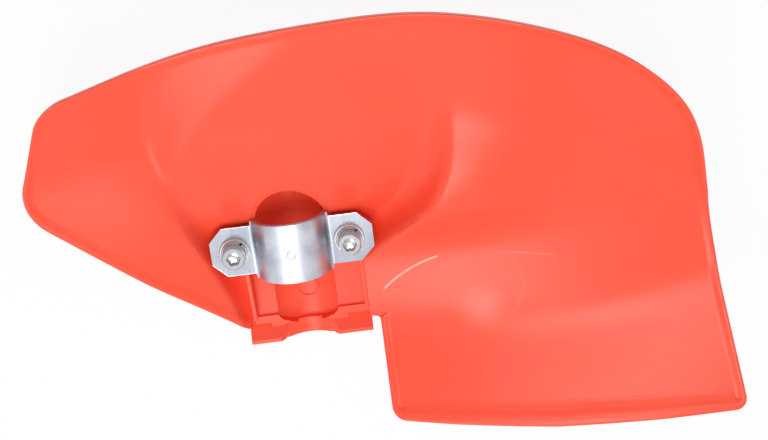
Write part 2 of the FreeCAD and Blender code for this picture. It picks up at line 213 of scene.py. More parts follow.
SPRING_SLANT = 20.0
SPRING_TURN = 45.0
SPRING_ROUND = 0.25
WASHER_R = 6.5
WASHER_Z = 4.0
WASHER_ROUND = 0.2
NUT_AF = 10.0
NUT_SEAT_Z = -7.4
NUT_H = 5.0
NUT_CHAMFER = 0.4
NUT_FACE_INSET = 0.1
NUT_CORNER_SLOPE = 0.5
NUT_POCKET_AF = 10.3

# Bead along the free edges, as shares of its width and of its rise, from outside to inside
BEAD_SECTION = [(0.0, 0.35), (0.12, 0.82), (0.4, 1.0), (0.75, 0.88), (1.1, 0.42), (1.5, 0.08), (1.8, 0.0)]
BAND_EXTRA = 2.1
BAND_BULGE = 1.6
BAND_MIDDLE_X = 110.0
BAND_REACH = 75.0
NOTCH_EDGE = 0.5

# Finish of the plastic and the steel
PLASTIC_CLOUD_SCALE = 14.0
PLASTIC_GRAIN_SCALE = 1500.0
PLASTIC_ROUGHNESS = (0.3, 0.36)
PLASTIC_SPECULAR = 0.3
PLASTIC_BUMP = (0.08, 0.0004)
SPECKLE_START = 0.8
SPECKLE_STRENGTH = 0.25
METAL_CLOUD_SCALE = 90.0
METAL_GRAIN_SCALE = 700.0
METAL_BUMP = (0.12, 0.0001)
GRAIN_RANGE = (0.3, 0.7)
STREAK_SHARE = 0.5
ZINC_ROUGHNESS = (0.36, 0.48)
ZINC_STRETCH = (1.0, 0.06, 1.0)
SCREW_ROUGHNESS = (0.13, 0.2)
SCREW_STRETCH = (1.0, 1.0, 0.2)
WASHER_ROUGHNESS = (0.15, 0.24)
WASHER_STRETCH = (1.0, 1.0, 1.0)
PIT_COLOUR = (0.16, 0.16, 0.18, 1.0)
PIT_SCALE = 700.0
PIT_RANGE = (0.66, 0.74)
PIT_STRENGTH = 0.5
EAR_POLISH = 0.33
EAR_FADE = 1.5

# Marks of handling on the dish and one painted highlight on the flap, each a broken arc in plan that starts
# and ends at an x, in metres
SCRATCH_COLOUR = (1.0, 0.55, 0.46, 1.0)
STAIN_COLOUR = (0.97, 0.2, 0.14, 1.0)
# Pale colour of the painted highlight on the flap, not a haze in the plastic
PAINTED_HIGHLIGHT_COLOUR = (1.0, 0.27, 0.22, 1.0)
SPECK_COLOUR = (0.5, 0.05, 0.03, 1.0)
MARK_FADE = 0.002
MARK_ROUGHNESS = 0.2
MARK_BREAK_SCALE = 140.0
MARK_BREAK_RANGE = (0.2, 0.5)
DISH_MARKS_AND_HIGHLIGHT = [
    {"centre": (0.0806, -0.0686, 0), "radius": 0.06, "width": 0.0008, "start": 0.036, "end": 0.062,
     "strength": 0.9, "colour": SCRATCH_COLOUR},
    {"centre": (0.0766, -0.1833, 0), "radius": 0.1724, "width": 0.0007, "start": 0.083, "end": 0.11,
     "strength": 0.16, "colour": SCRATCH_COLOUR},
    {"centre": (0.078, -0.027, 0), "radius": 0.0181, "width": 0.0016, "start": 0.0885, "end": 0.1,
     "strength": 0.2, "colour": STAIN_COLOUR},
    # Painted highlight: a soft pale spot on the flap that stands in for the gloss reflection of a lamp
    {"centre": (0.078, -0.036, 0), "radius": 0.0, "width": 0.014, "start": 0.06, "end": 0.1,
     "strength": 0.6, "colour": PAINTED_HIGHLIGHT_COLOUR},
    {"centre": (0.1144, 0.0461, 0), "radius": 0.0, "width": 0.0007, "start": 0.11, "end": 0.12,
     "strength": 0.6, "colour": SPECK_COLOUR},
]

# Camera and light
CAMERA_PLACE = (0.03235, 0.16028, 0.4457)
CAMERA_RIGHT = (0.9922, -0.1116, 0.0566)
CAMERA_UP = (0.1240, 0.9375, -0.3252)
CAMERA_BACK = (-0.0168, 0.3297, 0.9440)
CAMERA_LENS = 51.56
SENSOR_WIDTH = 36.0
CLIP_START = 0.01
FLOOR_SIZE = 6.0
FLOOR_COLOUR = (0.92, 0.92, 0.92, 1)
FLOOR_GLOW = 0.92
LAMPS = [
    ("key_lamp", (0.0, -0.06, 1.0), (0.03, 0.0, 0.0), 0.36, 3.7),
    ("side_lamp", (-0.27, -0.6, 0.75), (0.05, -0.02, 0.0), 0.4, 3.4),
]
WORLD_STRENGTH = 0.4

# Fineness of the meshes
BAR_SEGMENTS = 96
TURN_STEPS = 48
KNURL_STEPS = 96
KNURL_DEPTH = 0.14
SHARP_ANGLE = math.radians(38)
FINE_ANGLE = math.radians(20)
CORNER_ANGLE = math.radians(40)
ROUND_SEGMENTS = 3
SEAT_ROWS = 8
ARCH_STEPS = 36
STRAP_ARCH_STEPS = 24
BEND_STEPS = 10
PIP_SEGMENTS = 64
SLOPE_STEP = 0.5
SOFT_LIMIT = 40
MERGE_GAP = 0.0005
OVERLAP = 0.03
NEAR = 0.01
PAST = 1.0


def soft_rise(value, blend):
    """Zero below, value above, with a rounded turn of the given size."""
    ratio = value / blend
    if ratio > SOFT_LIMIT:
        return value
    return blend * math.log1p(math.exp(max(ratio, -SOFT_LIMIT)))


def ease_out(share):
    """A quick start, rounded at the crease, and a soft end, from 0 to 1."""
    held = min(soft_rise(share, CREASE_ROUND), 1.0)
    return 1 - (1 - held) ** 2


def fade(distance, reach):
    """One at no distance, falling smoothly to nothing beyond the reach."""
    return math.exp(-((distance / reach) ** 2))


def creases(y):
    """The x of the ramp's left and right creases."""
    along = y - FAN_START_Y
    left = FAN_HALF + FAN_OPEN_LEFT * math.tanh(along / FAN_REACH_LEFT)
    right = FAN_HALF + FAN_OPEN_RIGHT * math.tanh(along / FAN_REACH_RIGHT)
    return -left, right


def shoulder_height(x, y):
    """Extra height of the plate beside the creases, less further out and towards their ends."""
    left, right = creases(y)
    if x > 0:
        rise = SHOULDER_RISE_RIGHT * fade(max(x - right, 0), SHOULDER_REACH_RIGHT)
    else:
        rise = SHOULDER_RISE_LEFT * fade(max(left - x, 0), SHOULDER_REACH_LEFT)
    length = SHOULDER_LENGTH_UP if y > SHOULDER_Y else SHOULDER_LENGTH_DOWN
    return rise * fade(y - SHOULDER_Y, length)


def plate_height(x, y):
    sideways = PLATE_LIFT * math.tanh(math.hypot(x, PLATE_ROUND) / PLATE_REACH)
    upward = PLATE_SLOPE * y + PLATE_SLOPE_UP * soft_rise(y, PLATE_BLEND)
    return PLATE_Z + sideways + upward + shoulder_height(x, y)


def ramp_height(y):
    along = soft_rise(y - RAMP_START_Y, RAMP_BLEND)
    return FLOOR_Z + RAMP_LIFT * (1 - math.exp(-along / RAMP_REACH))


def ramp_place(z):
    """The y at which the ramp reaches height z."""
    along = -RAMP_REACH * math.log(1 - (z - FLOOR_Z) / RAMP_LIFT)
    return RAMP_START_Y + RAMP_BLEND * math.log(math.expm1(along / RAMP_BLEND))


def fan_share(x, y):
    """How far a point lies inside the two creases of the ramp."""
    left, right = creases(y)
    wider = FAN_FADE * soft_rise(y - FAN_FADE_Y, FAN_FADE_BLEND)
    return ease_out((right - x) / (FAN_WALL_RIGHT + wider)) * ease_out((x - left) / (FAN_WALL_LEFT + wider))


def skirt_height(x, y):
    bend_r = SKIRT_BEND_RIGHT_R if x > SKIRT_PEAK_X else SKIRT_BEND_LEFT_R
    crease_y = SKIRT_PEAK_Y - (x - SKIRT_PEAK_X) ** 2 / (2 * bend_r)
    steep = soft_rise(x - SKIRT_STEEPEN_X, SKIRT_STEEPEN_BLEND) / SKIRT_STEEPEN_REACH
    return (SKIRT_SLOPE + steep) * soft_rise(y - crease_y, SKIRT_BLEND)


def flap_height(x, y):
    """The flap's rise below its fold, which bends up towards the right edge."""
    fold_y = FLAP_FOLD_Y + max(x - FLAP_FOLD_X, 0) ** 2 / (2 * FLAP_FOLD_R)
    slope = FLAP_RISE / (fold_y - FLAP_END_Y)
    return slope * soft_rise(fold_y - y, FLAP_BLEND)


def dish_height(x, y):
    share = fan_share(x, y)
    base = plate_height(x, y) * (1 - share) + ramp_height(y) * share
    return base + skirt_height(x, y) + flap_height(x, y)


def dish_point(flat):
    """Lifts a point of the flat sheet onto the dish, with its edges cut straight down and its wall even."""
    step = SLOPE_STEP
    slope_x = (dish_height(flat.x + step, flat.y) - dish_height(flat.x - step, flat.y)) / (2 * step)
    slope_y = (dish_height(flat.x, flat.y + step) - dish_height(flat.x, flat.y - step)) / (2 * step)
    stretch_up = math.sqrt(1 + slope_x ** 2 + slope_y ** 2)
    return Vector((flat.x, flat.y, dish_height(flat.x, flat.y) + flat.z * stretch_up))


def rim_path():
    """The smooth upper rim, from the left shoulder to the right edge."""
    points = [Vector(p) for p in RIM_POINTS]
    tangents = [(points[i + 1] - points[i - 1]).normalized() for i in range(1, len(points) - 1)]
    tangents = [Vector(RIM_START_DIRECTION)] + tangents + [Vector(RIM_END_DIRECTION)]
    path = []
    for i in range(len(points) - 1):
        third = (points[i + 1] - points[i]).length / 3
        first = points[i] + tangents[i] * third
        last = points[i + 1] - tangents[i + 1] * third
        path += interpolate_bezier(points[i], first, last, points[i + 1], RIM_RESOLUTION)[:-1]
    return path


def rounded_path(start, corners, end):
    """Straight runs from start to end, joined by arcs at the corners."""
    path = [Vector(start)]
    spots = [Vector(start)] + [Vector(c[:2]) for c in corners] + [Vector(end)]
    for i, corner in enumerate(corners, start=1):
        radius = corner[2]
        before = (spots[i - 1] - spots[i]).normalized()
        after = (spots[i + 1] - spots[i]).normalized()
        half = before.angle(after) / 2
        middle = (before + after).normalized()
        centre = spots[i] + middle * (radius / math.sin(half))
        arm = spots[i] + before * (radius / math.tan(half)) - centre
        turn = arm.angle_signed(spots[i] + after * (radius / math.tan(half)) - centre)
        count = max(2, math.ceil(abs(turn) / ARC_STEP))
        path += [centre + Matrix.Rotation(-turn * k / count, 2) @ arm for k in range(count + 1)]
    return path + [Vector(end)]


def tunnel_path():
    """The edge of the opening for saddle and tube, from the lower right round to the lower left."""
    right = [Vector((SADDLE_RIGHT_X, SADDLE_CUT_LOW_Y)), Vector((SADDLE_RIGHT_X, SADDLE_CUT_Y))]
    left = [Vector((SADDLE_LEFT_X, SADDLE_CUT_Y)), Vector((SADDLE_LEFT_X, SADDLE_CUT_LOW_Y))]
    rows = [SADDLE_CUT_Y + (SEAT_BACK_Y - SADDLE_CUT_Y) * k / SEAT_ROWS for k in range(SEAT_ROWS + 1)]
    seat = [Vector((math.sqrt(BORE_R ** 2 - ramp_height(y) ** 2), y)) for y in rows]
    start = math.asin(ramp_height(SEAT_BACK_Y) / TUNNEL_R)
    turns = [start + (math.pi - 2 * start) * k / ARCH_STEPS for k in range(ARCH_STEPS + 1)]
    arch = [Vector((TUNNEL_X + TUNNEL_R * math.cos(a), ramp_place(TUNNEL_R * math.sin(a)))) for a in turns]
    back = [Vector((-p.x, p.y)) for p in reversed(seat)]
    return right + seat + arch + back + left


def spaced(path, step):
    """Splits the long runs of a closed path, so that no run is longer than a step."""
    points = []
    for start, end in zip(path, path[1:] + path[:1]):
        count = max(1, math.ceil((end - start).length / step))
        points += [start.lerp(end, k / count) for k in range(count)]
    return points


def dish_outline(step):
    opening = tunnel_path()
    rim = rim_path()
    flap = rounded_path(RIM_POINTS[-1], FLAP_CORNERS, opening[0])
    free_edge = rounded_path(opening[-1], FREE_EDGE_CORNERS, RIM_POINTS[0])
    return spaced(rim + flap[:-1] + opening + free_edge[1:-1], step)


def edge_form(spot, inward, sizes):
    """Width and rise of the bead at a spot of the outline; the opening for the saddle has none."""
    in_opening = OPENING_X[0] < spot.x < OPENING_X[1] and OPENING_Y[0] < spot.y < OPENING_Y[1]
    if in_opening:
        return NOTCH_EDGE, 0.0
    width = sizes.bead_width / MM
    if inward.y > 0:
        bulge = 1 - ((spot.x - BAND_MIDDLE_X) / BAND_REACH) ** 2
        width += inward.y * (BAND_EXTRA + BAND_BULGE * max(bulge, 0))
    return width, sizes.bead_rise / MM


def closed_loop(bm, points):
    verts = [bm.verts.new(p) for p in points]
    return [bm.edges.new(pair) for pair in zip(verts, verts[1:] + verts[:1])]


def inward_normals(path):
    """Unit vectors into the sheet, which lies to the right of the path."""
    normals = []
    for before, after in zip(path[-1:] + path[:-1], path[1:] + path[:1]):
        along = (after - before).normalized()
        normals.append(Vector((along.y, -along.x)))
    return normals


def dish_sheet(sizes):
    """The flat sheet with its raised bead, cut into a grid that can bend."""
    step = sizes.grid_step / MM
    bm = bmesh.new()
    path = dish_outline(step)
    normals = inward_normals(path)
    forms = [edge_form(spot, inward, sizes) for spot, inward in zip(path, normals)]
    loops = []
    for along, up in BEAD_SECTION:
        ring = [
            (spot + inward * (width * along)).to_3d() + Vector((0, 0, rise * up))
            for spot, inward, (width, rise) in zip(path, normals, forms)
        ]
        loops.append(closed_loop(bm, ring))
    for outer, inner in zip(loops, loops[1:]):
        bmesh.ops.bridge_loops(bm, edges=outer + inner)
    bmesh.ops.contextual_create(bm, geom=loops[-1])
    cut_in_grid(bm, path, step)
    return bm


def cut_in_grid(bm, path, step):
    for axis in (0, 1):
        low = min(p[axis] for p in path)
        high = max(p[axis] for p in path)
        across = Vector((0, 0, 0))
        across[axis] = 1
        for k in range(1, math.ceil((high - low) / step)):
            geom = bm.verts[:] + bm.edges[:] + bm.faces[:]
            bmesh.ops.bisect_plane(bm, geom=geom, plane_co=across * (low + k * step), plane_no=across)


def dish_shell(sizes):
    """The dished wall: the flat sheet, its back and its outer edge, bent into shape."""
    bm = dish_sheet(sizes)
    made = bmesh.ops.extrude_face_region(bm, geom=bm.faces[:], use_keep_orig=True)
    for item in made["geom"]:
        if isinstance(item, bmesh.types.BMVert):
            item.co.z = -sizes.wall / MM
    for vert in bm.verts:
        vert.co = dish_point(vert.co)
    return bm


def add_piece(bm, name, slot, node, sharp_angle=SHARP_ANGLE):
    """Turns a shape in millimetres into a finished piece that rides on the part."""
    bmesh.ops.recalc_face_normals(bm, faces=bm.faces)
    bmesh.ops.scale(bm, vec=(MM, MM, MM), verts=bm.verts)
    for face in bm.faces:
        face.smooth = True
    for edge in bm.edges:
        edge.smooth = edge.calc_face_angle(math.pi) < sharp_angle
    mesh = bpy.data.meshes.new(name)
    bm.to_mesh(mesh)
    bm.free()
    mesh.materials.append(finish_material(slot))
    piece = bpy.data.objects.new(name, mesh)
    bpy.context.scene.collection.objects.link(piece)
    # Large flat faces keep their own direction beside small rounded ones
    even = piece.modifiers.new("even_shading", "WEIGHTED_NORMAL")
    even.keep_sharp = True
    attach(piece, "root")
    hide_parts(node)
    return piece


def box_solid(low, high):
    bm = bmesh.new()
    bmesh.ops.create_cube(bm, size=1)
    bmesh.ops.translate(bm, vec=(0.5, 0.5, 0.5), verts=bm.verts)
    bmesh.ops.scale(bm, vec=Vector(high) - Vector(low), verts=bm.verts)
    bmesh.ops.translate(bm, vec=low, verts=bm.verts)
    return bm


def bar_solid(radius, x, start_y, end_y, top_z=None):
    """A round bar along the tube, cut off above top_z."""
    bm = bmesh.new()
    bmesh.ops.create_cone(
        bm, cap_ends=True, segments=BAR_SEGMENTS, radius1=radius, radius2=radius, depth=end_y - start_y
    )
    bmesh.ops.rotate(bm, verts=bm.verts, matrix=Matrix.Rotation(math.pi / 2, 3, "X"))
    bmesh.ops.translate(bm, vec=(x, (start_y + end_y) / 2, 0), verts=bm.verts)
    if top_z is not None:
        cut_above(bm, top_z)
    return bm


def cut_above(bm, top_z):
    geom = bm.verts[:] + bm.edges[:] + bm.faces[:]
    bmesh.ops.bisect_plane(bm, geom=geom, plane_co=(0, 0, top_z), plane_no=(0, 0, 1), clear_outer=True)
    bmesh.ops.holes_fill(bm, edges=[edge for edge in bm.edges if edge.is_boundary])


def post_solid(radius, sides, x, y, low_z, high_z):
    """An upright round or six-sided post."""
    bm = bmesh.new()
    bmesh.ops.create_cone(
        bm, cap_ends=True, segments=sides, radius1=radius, radius2=radius, depth=high_z - low_z
    )
    bmesh.ops.translate(bm, vec=(x, y, (low_z + high_z) / 2), verts=bm.verts)
    return bm


def section_solid(section, start_x, end_x):
    """A (y, z) section stretched from start_x to end_x."""
    bm = bmesh.new()
    edges = closed_loop(bm, [(start_x, y, z) for y, z in section])
    bmesh.ops.contextual_create(bm, geom=edges)
    return stretch(bm, (end_x - start_x, 0, 0))


def plan_solid(plan, low_z, high_z):
    """An (x, y) plan stretched from low_z to high_z."""
    bm = bmesh.new()
    edges = closed_loop(bm, [(p[0], p[1], low_z) for p in plan])
    bmesh.ops.contextual_create(bm, geom=edges)
    return stretch(bm, (0, 0, high_z - low_z))


def stretch(bm, vec):
    made = bmesh.ops.extrude_face_region(bm, geom=bm.faces[:], use_keep_orig=True)
    moved = [item for item in made["geom"] if isinstance(item, bmesh.types.BMVert)]
    bmesh.ops.translate(bm, vec=vec, verts=moved)
    bmesh.ops.recalc_face_normals(bm, faces=bm.faces)
    return bm


def soften(bm, offset, chosen):
    """Rounds the chosen edges of a shape."""
    edges = [edge for edge in bm.edges if chosen(edge)]
    bmesh.ops.bevel(
        bm, geom=edges, offset=offset, segments=ROUND_SEGMENTS, profile=0.5, affect="EDGES", material=-1,
        clamp_overlap=True,
    )
    return bm


def sharp(edge):
    return edge.calc_face_angle(0) > CORNER_ANGLE


def scratch_object(bm, name):
    mesh = bpy.data.meshes.new(name)
    bm.to_mesh(mesh)
    bm.free()
    thing = bpy.data.objects.new(name, mesh)
    bpy.context.scene.collection.objects.link(thing)
    return thing


def combined(base, operation, others):
    """The base shape joined with the others, or with the others taken out of it."""
    body = scratch_object(base, "working_body")
    tools = [scratch_object(other, "working_tool") for other in others]
    for tool in tools:
        change = body.modifiers.new("change", "BOOLEAN")
        change.operation = operation
        change.solver = "EXACT"
        change.object = tool
    graph = bpy.context.evaluated_depsgraph_get()
    result = bmesh.new()
    result.from_object(body, graph)
    for thing in [body] + tools:
        bpy.data.meshes.remove(thing.data)
    bmesh.ops.remove_doubles(result, verts=result.verts, dist=MERGE_GAP)
    bmesh.ops.dissolve_degenerate(result, edges=result.edges, dist=MERGE_GAP)
    return result


def rib(x):
    """A thin wall beside the saddle floor, lower towards the lip."""
    bottom = FLOOR_Z - WALL
    section = [(RIB_TOP_Y, bottom), (RIB_TOP_Y, RIB_TOP_Z), (LEDGE_Y, RIB_END_Z), (LEDGE_Y, bottom)]
    bm = section_solid(section, x - RIB_T / 2, x + RIB_T / 2)
    return soften(bm, RIB_ROUND, lambda edge: min(v.co.z for v in edge.verts) > bottom + RIB_FOOT)


def end_lip():
    """The ledge, the gutter behind it and the upturned lip."""
    gutter_y = LEDGE_Y - LEDGE_W - GUTTER_DROP
    section = [
        (LEDGE_Y + WALL, FLOOR_Z - WALL),
        (LEDGE_Y + WALL, FLOOR_Z - WALL / 2),
        (LEDGE_Y, FLOOR_Z - WALL / 2),
        (LEDGE_Y, LEDGE_Z),
        (LEDGE_Y - LEDGE_W, LEDGE_Z),
        (gutter_y, GUTTER_Z),
        (LIP_Y + LIP_EDGE, LIP_Z),
        (LIP_Y, LIP_Z),
        (LIP_Y, LIP_Z - LIP_T),
        (gutter_y, GUTTER_Z - LIP_T),
    ]
    return soften(section_solid(section, *LIP_ENDS), LIP_ROUND, sharp)


def pocket():
    """The relief in front of the seat, with a rounded end in plan."""
    half = math.sqrt(POCKET_R ** 2 - FLOOR_Z ** 2)
    corners = [
        (POCKET_X - half, POCKET_END_Y, POCKET_CORNER_R),
        (POCKET_X + half, POCKET_END_Y, POCKET_CORNER_R),
    ]
    start = (POCKET_X - POCKET_R, SEAT_FRONT_Y)
    end = (POCKET_X + POCKET_R, SEAT_FRONT_Y)
    plan = plan_solid(rounded_path(start, corners, end), -REACH, REACH)
    bar = bar_solid(POCKET_R, POCKET_X, POCKET_END_Y, SEAT_FRONT_Y)
    return combined(bar, "INTERSECT", [plan])


def mould_mark():
    """A low ring left on the pocket floor by the mould."""
    foot = -POCKET_R - WALL / 2
    ring = post_solid(MARK_R, TURN_STEPS, MARK_X, MARK_Y, foot, FLOOR_Z)
    hole = post_solid(MARK_R - MARK_RING, TURN_STEPS, MARK_X, MARK_Y, foot - PAST, FLOOR_Z + PAST)
    air = bar_solid(POCKET_R - MARK_RISE, POCKET_X, POCKET_END_Y, SEAT_FRONT_Y)
    return combined(ring, "DIFFERENCE", [hole, air])


def boss(x):
    bm = post_solid(BOSS_R, TURN_STEPS, x, 0, BOSS_BOTTOM_Z, EAR_SEAT_Z)
    return soften(bm, BOSS_ROUND, lambda edge: sharp(edge) and edge.verts[0].co.z > 0)


def saddle_body():
    floor = box_solid((SADDLE_LEFT_X, LEDGE_Y, FLOOR_Z - WALL), (SADDLE_RIGHT_X, FLOOR_TOP_Y, FLOOR_Z))
    pieces = [rib(x) for x in RIB_SPOTS] + [boss(x) for x in SCREW_SPOTS]
    pieces.append(end_lip())
    pieces.append(bar_solid(POCKET_R + WALL, POCKET_X, POCKET_END_Y - WALL, SEAT_BACK_Y, FLOOR_Z))
    pieces.append(bar_solid(LIP_ARC_R + LIP_T, LIP_ARC_X, LIP_Y, LEDGE_Y, GUTTER_Z))
    pieces.append(bar_solid(BORE_R + WALL, 0, SEAT_FRONT_Y, SEAT_BACK_Y, 0))
    pieces.append(bar_solid(TUNNEL_R + WALL, TUNNEL_X, SEAT_BACK_Y - WALL, TROUGH_END_Y, 0))
    return combined(floor, "UNION", pieces)


def saddle():
    """The floor, seat, ribs and lip that carry the tube and the clamp."""
    cuts = [bar_solid(BORE_R, 0, SEAT_FRONT_Y - OVERLAP, SEAT_BACK_Y + OVERLAP), pocket()]
    cuts.append(bar_solid(TUNNEL_R, TUNNEL_X, SEAT_BACK_Y, SEAT_BACK_Y + REACH))
    cuts.append(bar_solid(LIP_ARC_R, LIP_ARC_X, LIP_Y - WALL, POCKET_END_Y + OVERLAP))
    pocket_r = NUT_POCKET_AF / math.sqrt(3)
    for x in SCREW_SPOTS:
        cuts.append(post_solid(HOLE_R, TURN_STEPS, x, 0, -REACH, REACH))
        hexagon = post_solid(pocket_r, 6, x, 0, -REACH, NUT_SEAT_Z)
        turn = Matrix.Rotation(math.pi / 6, 3, "Z")
        bmesh.ops.rotate(hexagon, cent=(x, 0, 0), matrix=turn, verts=hexagon.verts)
        cuts.append(hexagon)
    return combined(combined(saddle_body(), "DIFFERENCE", cuts), "UNION", [mould_mark()])


def strap_line():
    """The strap's underside from the middle to the right end, as (x, z, half width)."""
    bend_x = math.sqrt((BORE_R + BEND_R) ** 2 - BEND_Z ** 2)
    lean = math.atan2(BEND_Z, bend_x)
    line = []
    for k in range(STRAP_ARCH_STEPS + 1):
        turn = math.pi / 2 + (lean - math.pi / 2) * k / STRAP_ARCH_STEPS
        line.append((BORE_R * math.cos(turn), BORE_R * math.sin(turn), STRAP_ARCH_HALF))
    for k in range(1, BEND_STEPS + 1):
        turn = math.pi + lean + (math.pi / 2 - lean) * k / BEND_STEPS
        x = bend_x + BEND_R * math.cos(turn)
        half = STRAP_ARCH_HALF if x < ARCH_EDGE_X else STRAP_EAR_HALF
        line.append((x, BEND_Z + BEND_R * math.sin(turn), half))
    line.append((STRAP_END - EAR_CHAMFER, EAR_SEAT_Z, STRAP_EAR_HALF))
    line.append((STRAP_END, EAR_SEAT_Z, STRAP_EAR_HALF - EAR_CHAMFER))
    return line


def strap():
    """The pressed strap: a bent sheet with cut ear corners, two holes and a centre pip."""
    right = strap_line()
    line = [(-x, z, half) for x, z, half in reversed(right[1:])] + right
    bm = bmesh.new()
    rows = [[bm.verts.new((x, side * half, z)) for side in (-1, 1)] for x, z, half in line]
    for near, far in zip(rows, rows[1:]):
        bm.faces.new([near[0], far[0], far[1], near[1]])
    bm.normal_update()
    bmesh.ops.solidify(bm, geom=bm.faces[:], thickness=-STRAP_T)
    bmesh.ops.recalc_face_normals(bm, faces=bm.faces)
    soften(bm, STRAP_ROUND, sharp)
    ball_r = (PIP_R ** 2 + PIP_DEPTH ** 2) / (2 * PIP_DEPTH)
    ball = bmesh.new()
    bmesh.ops.create_uvsphere(ball, u_segments=PIP_SEGMENTS, v_segments=PIP_SEGMENTS, radius=ball_r)
    bmesh.ops.translate(ball, vec=(0, 0, BORE_R + STRAP_T - PIP_DEPTH + ball_r), verts=ball.verts)
    holes = [post_solid(HOLE_R, TURN_STEPS, x, 0, -REACH, REACH) for x in SCREW_SPOTS]
    return combined(bm, "DIFFERENCE", holes + [ball])


def turned(x, profile, steps=TURN_STEPS, angle=math.tau):
    """A (radius, z) profile spun round a screw's axis."""
    bm = bmesh.new()
    verts = [bm.verts.new((x + radius, 0, z)) for radius, z in profile]
    edges = [bm.edges.new(pair) for pair in zip(verts, verts[1:])]
    whole = angle == math.tau
    bmesh.ops.spin(
        bm, geom=verts + edges, cent=(x, 0, 0), axis=(0, 0, 1), angle=angle, steps=steps, use_merge=whole
    )
    bmesh.ops.remove_doubles(bm, verts=bm.verts, dist=MERGE_GAP)
    return bm


def hexagon_reach(across_flats, turn):
    """Distance from the middle of a hexagon to its side in the direction of turn."""
    return across_flats / 2 / math.cos(turn % (math.pi / 3) - math.pi / 6)


def ring_loop(bm, x, steps, place):
    """A closed loop of points (radius, z) = place(turn) round a screw's axis."""
    points = []
    for k in range(steps):
        turn = math.tau * k / steps
        radius, z = place(turn)
        points.append((x + radius * math.cos(turn), radius * math.sin(turn), z))
    return closed_loop(bm, points)


def cut_knurls(bm, x):
    """Pulls in every second step of a screw head's side."""
    for vert in bm.verts:
        arm = vert.co - Vector((x, 0, vert.co.z))
        step = round(math.atan2(arm.y, arm.x) / math.tau * KNURL_STEPS)
        if abs(arm.length - HEAD_R) < NEAR and step % 2:
            vert.co -= arm * KNURL_DEPTH / HEAD_R


def cap_screw(x):
    """A socket head screw with a knurled head."""
    profile = [
        (0, SCREW_TIP_Z), (SCREW_R - TIP_CHAMFER, SCREW_TIP_Z), (SCREW_R, SCREW_TIP_Z + TIP_CHAMFER),
        (SCREW_R, HEAD_Z), (HEAD_R - HEAD_FOOT, HEAD_Z), (HEAD_R, HEAD_Z + HEAD_FOOT),
    ]
    profile += [(HEAD_R - inset, HEAD_TOP_Z - drop) for inset, drop in HEAD_CROWN]
    profile.append((SOCKET_AF / 2 + MOUTH_MARGIN, HEAD_TOP_Z))
    bm = turned(x, profile, KNURL_STEPS)
    cut_knurls(bm, x)
    mouth = [edge for edge in bm.edges if edge.is_boundary]

    def hexagon(turn):
        return hexagon_reach(SOCKET_AF, turn)

    chamfer = ring_loop(bm, x, KNURL_STEPS, lambda turn: (hexagon(turn) + SOCKET_CHAMFER, HEAD_TOP_Z))
    wall = ring_loop(bm, x, KNURL_STEPS, lambda turn: (hexagon(turn), HEAD_TOP_Z - SOCKET_CHAMFER_DROP))
    floor = ring_loop(bm, x, KNURL_STEPS, lambda turn: (hexagon(turn), HEAD_TOP_Z - SOCKET_DEPTH))
    for outer, inner in ((mouth, chamfer), (chamfer, wall), (wall, floor)):
        bmesh.ops.bridge_loops(bm, edges=outer + inner)
    base = bmesh.ops.contextual_create(bm, geom=floor)["faces"]
    tip = bmesh.ops.poke(bm, faces=base)["verts"]
    bmesh.ops.translate(bm, vec=(0, 0, -SOCKET_POINT), verts=tip)
    return bm


def washer_profile(inner_r, outer_r, low_z, high_z, round_off):
    return [
        (inner_r, low_z + round_off), (inner_r + round_off, low_z), (outer_r - round_off, low_z),
        (outer_r, low_z + round_off), (outer_r, high_z - round_off), (outer_r - round_off, high_z),
        (inner_r + round_off, high_z), (inner_r, high_z - round_off), (inner_r, low_z + round_off),
    ]


def flat_washer(x):
    return turned(x, washer_profile(HOLE_R, WASHER_R, WASHER_Z, SPRING_Z, WASHER_ROUND))


def spring_washer(x):
    """A flattened coil of square wire with a slanted split."""
    middle_r = (HOLE_R + SPRING_R) / 2
    gap = SPRING_GAP / middle_r
    profile = washer_profile(HOLE_R, SPRING_R, SPRING_Z, HEAD_Z, SPRING_ROUND)
    bm = turned(x, profile, TURN_STEPS, math.tau - gap)
    bmesh.ops.holes_fill(bm, edges=[edge for edge in bm.edges if edge.is_boundary])
    lean = math.tan(math.radians(SPRING_SLANT)) / middle_r
    for vert in bm.verts:
        turn = math.radians(SPRING_TURN) + gap / 2 + lean * (vert.co.z - SPRING_Z)
        arm = vert.co - Vector((x, 0, 0))
        vert.co = Vector((x, 0, 0)) + Matrix.Rotation(turn, 3, "Z") @ arm
    return bm


def hex_nut(x):
    """A nut with chamfered corners and bore, in its pocket behind the boss."""
    low = NUT_SEAT_Z - NUT_H
    bore = SCREW_R + THREAD_GAP
    face_r = NUT_AF / 2 - NUT_FACE_INSET

    def hexagon(turn):
        return hexagon_reach(NUT_AF, turn)

    def drop(turn):
        return (hexagon(turn) - face_r) * NUT_CORNER_SLOPE

    places = [
        lambda turn: (bore, low + NUT_CHAMFER),
        lambda turn: (bore + NUT_CHAMFER, low),
        lambda turn: (face_r, low),
        lambda turn: (hexagon(turn), low + drop(turn)),
        lambda turn: (hexagon(turn), NUT_SEAT_Z - drop(turn)),
        lambda turn: (face_r, NUT_SEAT_Z),
        lambda turn: (bore + NUT_CHAMFER, NUT_SEAT_Z),
        lambda turn: (bore, NUT_SEAT_Z - NUT_CHAMFER),
    ]
    bm = bmesh.new()
    loops = [ring_loop(bm, x, TURN_STEPS, place) for place in places]
    for first, second in zip(loops, loops[1:] + loops[:1]):
        bmesh.ops.bridge_loops(bm, edges=first + second)
    return bm


def at_screws(make):
    """The same piece at both screws, in one mesh."""
    pair = bmesh.new()
    for x in SCREW_SPOTS:
        one = make(x)
        mesh = bpy.data.meshes.new("one_of_two")
        one.to_mesh(mesh)
        one.free()
        pair.from_mesh(mesh)
        bpy.data.meshes.remove(mesh)
    return pair


